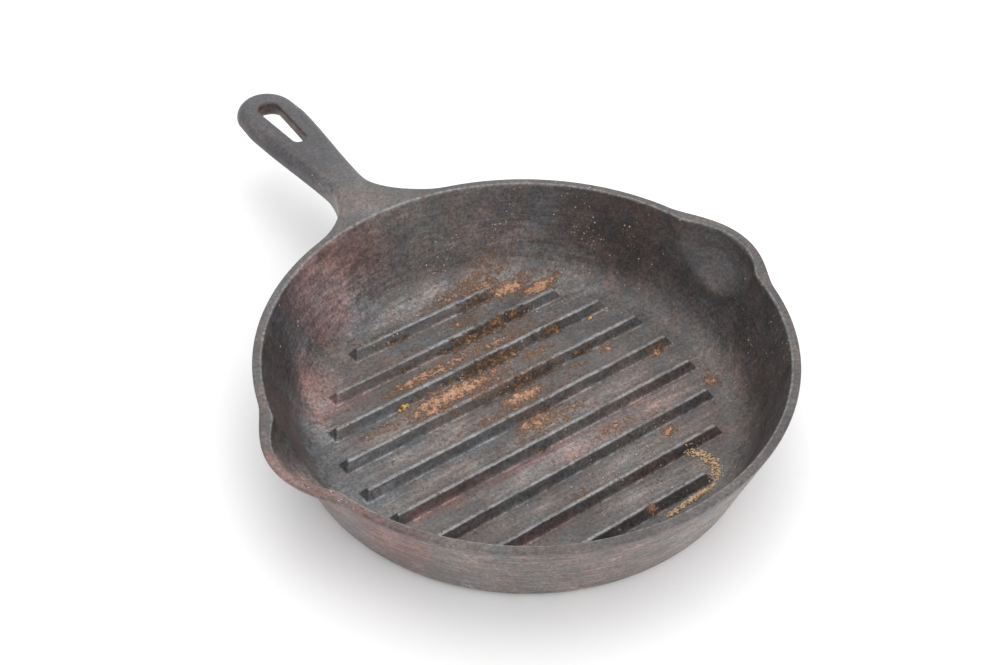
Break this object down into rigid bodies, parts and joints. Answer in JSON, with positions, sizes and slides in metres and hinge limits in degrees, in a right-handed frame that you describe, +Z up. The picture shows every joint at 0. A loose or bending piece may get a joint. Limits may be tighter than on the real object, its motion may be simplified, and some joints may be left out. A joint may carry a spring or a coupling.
{
  "type": "cast iron skillet",
  "caption": "Round cast iron grill skillet with straight parallel ridges across the floor, a pour spout on each side and one long handle with a hang hole.",
  "frame": {"origin": "centre of the flat resting face under the pan", "axes": "+Z up out of the pan, +Y along the handle towards its tip, X along the grill ridges and from spout to spout"},
  "size_m": [0.28, 0.3964, 0.0524],
  "materials": {
    "pan_iron": "seasoned and worn, satin, with light surface rust",
    "ridge_iron": "seasoned, with rubbed bright crests",
    "handle_iron": "seasoned, satin"
  },
  "bodies": {
    "root": {"pan_floor": "pan_iron", "front_wall": "pan_iron", "rear_wall": "pan_iron", "pour_spout_left": "pan_iron", "pour_spout_right": "pan_iron", "handle": "handle_iron", "grill_ridge_1": "ridge_iron", "grill_ridge_2": "ridge_iron", "grill_ridge_3": "ridge_iron", "grill_ridge_4": "ridge_iron", "grill_ridge_5": "ridge_iron", "grill_ridge_6": "ridge_iron", "grill_ridge_7": "ridge_iron", "grill_ridge_8": "ridge_iron", "grill_ridge_9": "ridge_iron"}
  },
  "joints": []
}
